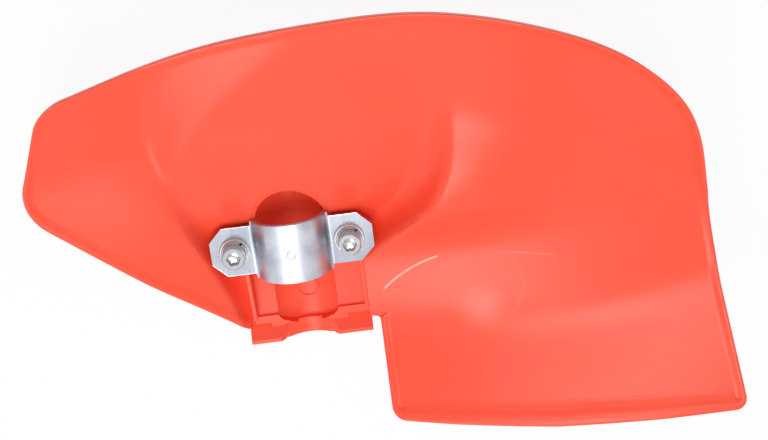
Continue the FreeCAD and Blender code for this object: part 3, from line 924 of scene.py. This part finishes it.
def new_group(name, inputs, outputs):
    """An empty shader node group with named sockets, as (name, socket type, default)."""
    group = bpy.data.node_groups.new(name, "ShaderNodeTree")
    for label, kind, value in inputs:
        socket = group.interface.new_socket(name=label, in_out="INPUT", socket_type=kind)
        if value is not None:
            socket.default_value = value
    for label, kind in outputs:
        group.interface.new_socket(name=label, in_out="OUTPUT", socket_type=kind)
    return group, group.nodes.new("NodeGroupInput"), group.nodes.new("NodeGroupOutput")


def feed(tree, node, index, value):
    """Links an output to a socket, or sets a plain value on it."""
    if isinstance(value, bpy.types.NodeSocket):
        tree.links.new(value, node.inputs[index])
    else:
        node.inputs[index].default_value = value


def math_node(tree, operation, first, second=0.0):
    node = tree.nodes.new("ShaderNodeMath")
    node.operation = operation
    feed(tree, node, 0, first)
    feed(tree, node, 1, second)
    return node.outputs[0]


def ramp_node(tree, value, low, high, to_low=0.0, to_high=1.0):
    """Maps low..high smoothly to to_low..to_high and holds the ends."""
    node = tree.nodes.new("ShaderNodeMapRange")
    node.interpolation_type = "SMOOTHSTEP"
    for index, item in enumerate((value, low, high, to_low, to_high)):
        feed(tree, node, index, item)
    return node.outputs[0]


def noise_node(tree, vector, scale, detail=3.0, roughness=0.5):
    node = tree.nodes.new("ShaderNodeTexNoise")
    feed(tree, node, "Vector", vector)
    feed(tree, node, "Scale", scale)
    feed(tree, node, "Detail", detail)
    feed(tree, node, "Roughness", roughness)
    return node.outputs["Fac"]


def colour_mix(tree, factor, first, second):
    node = tree.nodes.new("ShaderNodeMix")
    node.data_type = "RGBA"
    feed(tree, node, 0, factor)
    feed(tree, node, 6, first)
    feed(tree, node, 7, second)
    return node.outputs[2]


def use_group(tree, group, **values):
    node = tree.nodes.new("ShaderNodeGroup")
    node.node_tree = group
    for label, value in values.items():
        feed(tree, node, label, value)
    return node


def vector_node(tree, operation, first, second, output="Vector"):
    node = tree.nodes.new("ShaderNodeVectorMath")
    node.operation = operation
    feed(tree, node, 0, first)
    feed(tree, node, 1, second)
    return node.outputs[output]


def arc_mark_group():
    """A broken line along an arc, for scratches and stains on the dish; with no radius it is a soft spot,
    used for the painted highlight.
    """
    inputs = [
        ("Position", "NodeSocketVector", None), ("Centre", "NodeSocketVector", (0, 0, 0)),
        ("Radius", "NodeSocketFloat", 0.05), ("Width", "NodeSocketFloat", 0.0005),
        ("Start", "NodeSocketFloat", 0.0), ("End", "NodeSocketFloat", 0.1),
    ]
    group, given, result = new_group("arc_mark", inputs, [("Mask", "NodeSocketFloat")])
    start = given.outputs["Start"]
    end = given.outputs["End"]
    flat = vector_node(group, "MULTIPLY", given.outputs["Position"], (1, 1, 0))
    away = vector_node(group, "DISTANCE", flat, given.outputs["Centre"], "Value")
    off_line = math_node(group, "ABSOLUTE", math_node(group, "SUBTRACT", away, given.outputs["Radius"]))
    line = ramp_node(group, off_line, 0.0, given.outputs["Width"], 1.0, 0.0)
    along = vector_node(group, "DOT_PRODUCT", flat, (1, 0, 0), "Value")
    after = ramp_node(group, along, start, math_node(group, "ADD", start, MARK_FADE))
    before = ramp_node(group, along, math_node(group, "SUBTRACT", end, MARK_FADE), end, 1.0, 0.0)
    noise = noise_node(group, given.outputs["Position"], MARK_BREAK_SCALE)
    broken = ramp_node(group, noise, *MARK_BREAK_RANGE)
    kept = math_node(group, "MULTIPLY", math_node(group, "MULTIPLY", after, before), broken)
    group.links.new(math_node(group, "MULTIPLY", line, kept), result.inputs["Mask"])
    return group


def surface_grain_group():
    """Broad tone changes, fine grain and their height, for moulded and plated surfaces alike."""
    inputs = [
        ("Position", "NodeSocketVector", None), ("Broad Scale", "NodeSocketFloat", 20.0),
        ("Fine Scale", "NodeSocketFloat", 900.0), ("Stretch", "NodeSocketVector", (1, 1, 1)),
    ]
    outputs = [("Broad", "NodeSocketFloat"), ("Fine", "NodeSocketFloat"), ("Height", "NodeSocketFloat")]
    group, given, result = new_group("surface_grain", inputs, outputs)
    pulled = vector_node(group, "MULTIPLY", given.outputs["Position"], given.outputs["Stretch"])
    broad = noise_node(group, given.outputs["Position"], given.outputs["Broad Scale"], 4.0)
    fine = noise_node(group, pulled, given.outputs["Fine Scale"], 3.0, 0.6)
    height = math_node(group, "ADD", math_node(group, "MULTIPLY", broad, 0.5), fine)
    group.links.new(ramp_node(group, broad, *GRAIN_RANGE), result.inputs["Broad"])
    group.links.new(ramp_node(group, fine, *GRAIN_RANGE), result.inputs["Fine"])
    group.links.new(height, result.inputs["Height"])
    return group


def shared_group(name, make):
    return bpy.data.node_groups.get(name) or make()


def new_material(name):
    material = bpy.data.materials.new(name)
    material.use_nodes = True
    tree = material.node_tree
    shader = tree.nodes["Principled BSDF"]
    place = tree.nodes.new("ShaderNodeTexCoord").outputs["Object"]
    return material, tree, shader, place


def add_bump(tree, shader, height, strength, distance):
    bump = tree.nodes.new("ShaderNodeBump")
    feed(tree, bump, "Strength", strength)
    feed(tree, bump, "Distance", distance)
    feed(tree, bump, "Height", height)
    tree.links.new(bump.outputs["Normal"], shader.inputs["Normal"])


def plastic_material():
    """Satin moulded plastic with a soft cloudy tone, fine grain, the marks of handling and a painted
    highlight on the flap.
    """
    finish = bpy.context.scene.guard_finish
    material, tree, shader, place = new_material("orange_plastic_finish")
    grain = use_group(
        tree, shared_group("surface_grain", surface_grain_group),
        Position=place, **{"Broad Scale": PLASTIC_CLOUD_SCALE, "Fine Scale": PLASTIC_GRAIN_SCALE},
    )
    colour = colour_mix(tree, grain.outputs["Broad"], finish.plastic, finish.plastic_cloud)
    speckle = ramp_node(tree, grain.outputs["Fine"], SPECKLE_START, 1.0, 0.0, SPECKLE_STRENGTH)
    colour = colour_mix(tree, speckle, colour, finish.plastic_cloud)
    roughness = ramp_node(tree, grain.outputs["Broad"], 0.0, 1.0, *PLASTIC_ROUGHNESS)
    arc_mark = shared_group("arc_mark", arc_mark_group)
    # Scratches, a stain and a speck, and a pale painted highlight spot on the flap
    for mark in DISH_MARKS_AND_HIGHLIGHT:
        mask = use_group(
            tree, arc_mark, Position=place, Centre=mark["centre"], Radius=mark["radius"], Width=mark["width"],
            Start=mark["start"], End=mark["end"],
        ).outputs["Mask"]
        strength = math_node(tree, "MULTIPLY", mask, mark["strength"])
        colour = colour_mix(tree, strength, colour, mark["colour"])
        roughness = math_node(tree, "ADD", roughness, math_node(tree, "MULTIPLY", strength, MARK_ROUGHNESS))
    tree.links.new(colour, shader.inputs["Base Color"])
    tree.links.new(roughness, shader.inputs["Roughness"])
    add_bump(tree, shader, grain.outputs["Height"], *PLASTIC_BUMP)
    shader.inputs["Specular IOR Level"].default_value = PLASTIC_SPECULAR
    return material


def ear_mask(tree, place):
    """One on the strap's flat ears, zero on its arch."""
    apart = tree.nodes.new("ShaderNodeSeparateXYZ")
    feed(tree, apart, 0, place)
    off_middle = math_node(tree, "ABSOLUTE", apart.outputs["X"])
    return ramp_node(tree, off_middle, ARCH_EDGE_X * MM, (ARCH_EDGE_X + EAR_FADE) * MM)


def metal_material(name, colours, rough_range, stretch, ear_polish=None):
    """Plated steel with cloudy dulling, small dark pits and fine drawn streaks."""
    material, tree, shader, place = new_material(name)
    grain = use_group(
        tree, shared_group("surface_grain", surface_grain_group), Position=place, Stretch=stretch,
        **{"Broad Scale": METAL_CLOUD_SCALE, "Fine Scale": METAL_GRAIN_SCALE},
    )
    plate = colour_mix(tree, grain.outputs["Broad"], *colours)
    pits = ramp_node(tree, noise_node(tree, place, PIT_SCALE), *PIT_RANGE, 0.0, PIT_STRENGTH)
    tree.links.new(colour_mix(tree, pits, plate, PIT_COLOUR), shader.inputs["Base Color"])
    streaks = math_node(tree, "MULTIPLY", grain.outputs["Fine"], STREAK_SHARE)
    worn = math_node(tree, "ADD", streaks, grain.outputs["Broad"])
    roughness = ramp_node(tree, worn, 0.0, 1.0 + STREAK_SHARE, *rough_range)
    if ear_polish is not None:
        share = ramp_node(tree, ear_mask(tree, place), 0.0, 1.0, 1.0, ear_polish)
        roughness = math_node(tree, "MULTIPLY", roughness, share)
    tree.links.new(roughness, shader.inputs["Roughness"])
    shader.inputs["Metallic"].default_value = 1.0
    add_bump(tree, shader, grain.outputs["Height"], *METAL_BUMP)
    return material


def zinc_material():
    finish = bpy.context.scene.guard_finish
    colours = (finish.zinc, finish.zinc_dull)
    return metal_material("zinc_steel_finish", colours, ZINC_ROUGHNESS, ZINC_STRETCH, EAR_POLISH)


def screw_material():
    finish = bpy.context.scene.guard_finish
    colours = (finish.screw, finish.screw_dull)
    return metal_material("screw_steel_finish", colours, SCREW_ROUGHNESS, SCREW_STRETCH)


def washer_material():
    finish = bpy.context.scene.guard_finish
    colours = (finish.washer, finish.washer_dull)
    return metal_material("washer_steel_finish", colours, WASHER_ROUGHNESS, WASHER_STRETCH)


FINISHES = {
    "orange_plastic": plastic_material,
    "zinc_steel": zinc_material,
    "screw_steel": screw_material,
    "washer_steel": washer_material,
}


def finish_material(slot):
    return bpy.data.materials.get(slot + "_finish") or FINISHES[slot]()


def seen_rays(tree):
    """One for rays from the camera, mirrors and glass, zero for the rest."""
    path = tree.nodes.new("ShaderNodeLightPath")
    seen = math_node(tree, "ADD", path.outputs["Is Camera Ray"], path.outputs["Is Glossy Ray"])
    seen = math_node(tree, "ADD", seen, path.outputs["Is Transmission Ray"])
    return math_node(tree, "MINIMUM", seen, 1.0)


def floor_material():
    """A pale floor that looks white to the camera and keeps the shadow."""
    material = bpy.data.materials.new("floor_finish")
    material.use_nodes = True
    tree = material.node_tree
    tree.nodes.remove(tree.nodes["Principled BSDF"])
    matt = tree.nodes.new("ShaderNodeBsdfDiffuse")
    matt.inputs["Color"].default_value = FLOOR_COLOUR
    glow = tree.nodes.new("ShaderNodeEmission")
    mix = tree.nodes.new("ShaderNodeMixShader")
    feed(tree, mix, 0, math_node(tree, "MULTIPLY", seen_rays(tree), FLOOR_GLOW))
    feed(tree, mix, 1, matt.outputs[0])
    feed(tree, mix, 2, glow.outputs[0])
    tree.links.new(mix.outputs[0], tree.nodes["Material Output"].inputs["Surface"])
    return material


def add_floor(height):
    bm = bmesh.new()
    bmesh.ops.create_grid(bm, x_segments=1, y_segments=1, size=FLOOR_SIZE / 2)
    bmesh.ops.translate(bm, vec=(0, 0, height), verts=bm.verts)
    floor = scratch_object(bm, "stage_floor")
    floor.data.materials.append(floor_material())


def add_camera():
    data = bpy.data.cameras.new("photo_camera")
    data.sensor_fit = "HORIZONTAL"
    data.sensor_width = SENSOR_WIDTH
    data.lens = CAMERA_LENS
    data.clip_start = CLIP_START
    camera = bpy.data.objects.new("photo_camera", data)
    axes = Matrix((CAMERA_RIGHT, CAMERA_UP, CAMERA_BACK)).transposed()
    camera.matrix_world = Matrix.Translation(CAMERA_PLACE) @ axes.to_quaternion().to_matrix().to_4x4()
    bpy.context.scene.collection.objects.link(camera)
    bpy.context.scene.camera = camera


def add_lamp(name, place, target, size, power):
    data = bpy.data.lights.new(name, "AREA")
    data.shape = "DISK"
    data.size = size
    data.energy = power
    lamp = bpy.data.objects.new(name, data)
    aim = (Vector(target) - Vector(place)).to_track_quat("-Z", "Y")
    lamp.matrix_world = Matrix.Translation(place) @ aim.to_matrix().to_4x4()
    bpy.context.scene.collection.objects.link(lamp)


def set_world():
    world = bpy.data.worlds.new("studio")
    world.use_nodes = True
    tree = world.node_tree
    background = tree.nodes["Background"]
    background.inputs["Color"].default_value = (1, 1, 1, 1)
    strength = ramp_node(tree, seen_rays(tree), 0.0, 1.0, WORLD_STRENGTH, 1.0)
    tree.links.new(strength, background.inputs["Strength"])
    bpy.context.scene.world = world


def length_property(name, description, default, least):
    return FloatProperty(name=name, description=description, default=default, min=least, unit="LENGTH")


def colour_property(name, description, default):
    return FloatVectorProperty(
        name=name, description=description, default=default, size=4, min=0.0, max=1.0, subtype="COLOR"
    )


class GuardSizes(bpy.types.PropertyGroup):
    """Sizes of the moulded guard."""

    wall: length_property("Wall", "Thickness of the moulded wall", 0.003, 0.001)
    bead_width: length_property("Bead width", "Width of the raised edge bead", 0.0023, 0.001)
    bead_rise: length_property("Bead rise", "Height of the bead above the wall", 0.0009, 0.0)
    grid_step: length_property("Grid step", "Size of the dish's mesh squares", 0.0014, 0.001)


class GuardFinish(bpy.types.PropertyGroup):
    """Colours of the guard and its clamp."""

    plastic: colour_property("Plastic", "Main colour of the plastic", (0.98, 0.09, 0.042, 1))
    plastic_cloud: colour_property("Plastic cloud", "Paler cloud in the plastic", (1.0, 0.1, 0.05, 1))
    zinc: colour_property("Zinc", "Bright plate of the strap", (0.6, 0.63, 0.7, 1))
    zinc_dull: colour_property("Dull zinc", "Dulled plate of the strap", (0.42, 0.45, 0.52, 1))
    screw: colour_property("Screw", "Plate of screws and nuts", (0.52, 0.52, 0.53, 1))
    screw_dull: colour_property("Dull screw", "Dulled plate of screws and nuts", (0.38, 0.38, 0.39, 1))
    washer: colour_property("Washer", "Plate of the washers", (0.58, 0.58, 0.58, 1))
    washer_dull: colour_property("Dull washer", "Dulled plate of the washers", (0.42, 0.41, 0.4, 1))


class GUARD_OT_stage(bpy.types.Operator):
    """Sets the floor, the light and the camera"""

    bl_idname = "guard.stage"
    bl_label = "Stage"

    def execute(self, context):
        context.scene.view_settings.view_transform = "Standard"
        add_floor(CAD_BOX[0][2])
        add_camera()
        for lamp in LAMPS:
            add_lamp(*lamp)
        set_world()
        return {"FINISHED"}


class GUARD_OT_dish(bpy.types.Operator):
    """Builds the dished wall with its ramp, skirt, flap and edge bead"""

    bl_idname = "guard.dish"
    bl_label = "Dish"

    def execute(self, context):
        add_piece(dish_shell(context.scene.guard_sizes), "guard_dish", "orange_plastic", "guard_shell")
        return {"FINISHED"}


class GUARD_OT_saddle(bpy.types.Operator):
    """Builds the saddle under the tube, with ribs, bosses and end lip"""

    bl_idname = "guard.saddle"
    bl_label = "Saddle"

    def execute(self, context):
        add_piece(saddle(), "guard_saddle", "orange_plastic", "guard_shell", FINE_ANGLE)
        return {"FINISHED"}


class GUARD_OT_strap(bpy.types.Operator):
    """Builds the pressed steel clamp strap"""

    bl_idname = "guard.strap"
    bl_label = "Clamp strap"

    def execute(self, context):
        add_piece(strap(), "strap_plate", "zinc_steel", "clamp_strap", FINE_ANGLE)
        return {"FINISHED"}


class GUARD_OT_fasteners(bpy.types.Operator):
    """Builds the screws, washers and nuts"""

    bl_idname = "guard.fasteners"
    bl_label = "Screws, washers and nuts"

    def execute(self, context):
        add_piece(at_screws(cap_screw), "socket_screws", "screw_steel", "cap_screws")
        add_piece(at_screws(spring_washer), "split_washers", "washer_steel", "spring_washers")
        add_piece(at_screws(flat_washer), "plain_washers", "washer_steel", "flat_washers")
        add_piece(at_screws(hex_nut), "nuts", "screw_steel", "hex_nuts")
        return {"FINISHED"}


class GUARD_PT_panel(bpy.types.Panel):
    """Lists the sizes, the colours and the pieces"""

    bl_idname = "GUARD_PT_panel"
    bl_label = "Blade Guard"
    bl_space_type = "VIEW_3D"
    bl_region_type = "UI"
    bl_category = "Blade Guard"

    def draw(self, context):
        for group in (context.scene.guard_sizes, context.scene.guard_finish):
            for name in group.__annotations__:
                self.layout.prop(group, name)
        for operator in OPERATORS:
            self.layout.operator(operator.bl_idname)


OPERATORS = [GUARD_OT_stage, GUARD_OT_dish, GUARD_OT_saddle, GUARD_OT_strap, GUARD_OT_fasteners]
CLASSES = [GuardSizes, GuardFinish] + OPERATORS + [GUARD_PT_panel]


def register():
    for item in CLASSES:
        bpy.utils.register_class(item)
    bpy.types.Scene.guard_sizes = PointerProperty(type=GuardSizes)
    bpy.types.Scene.guard_finish = PointerProperty(type=GuardFinish)


def unregister():
    del bpy.types.Scene.guard_finish
    del bpy.types.Scene.guard_sizes
    for item in reversed(CLASSES):
        bpy.utils.unregister_class(item)


def main():
    register()
    bpy.ops.guard.stage()
    bpy.ops.guard.dish()
    bpy.ops.guard.saddle()
    bpy.ops.guard.strap()
    bpy.ops.guard.fasteners()


if __name__ == "__main__":
    main()
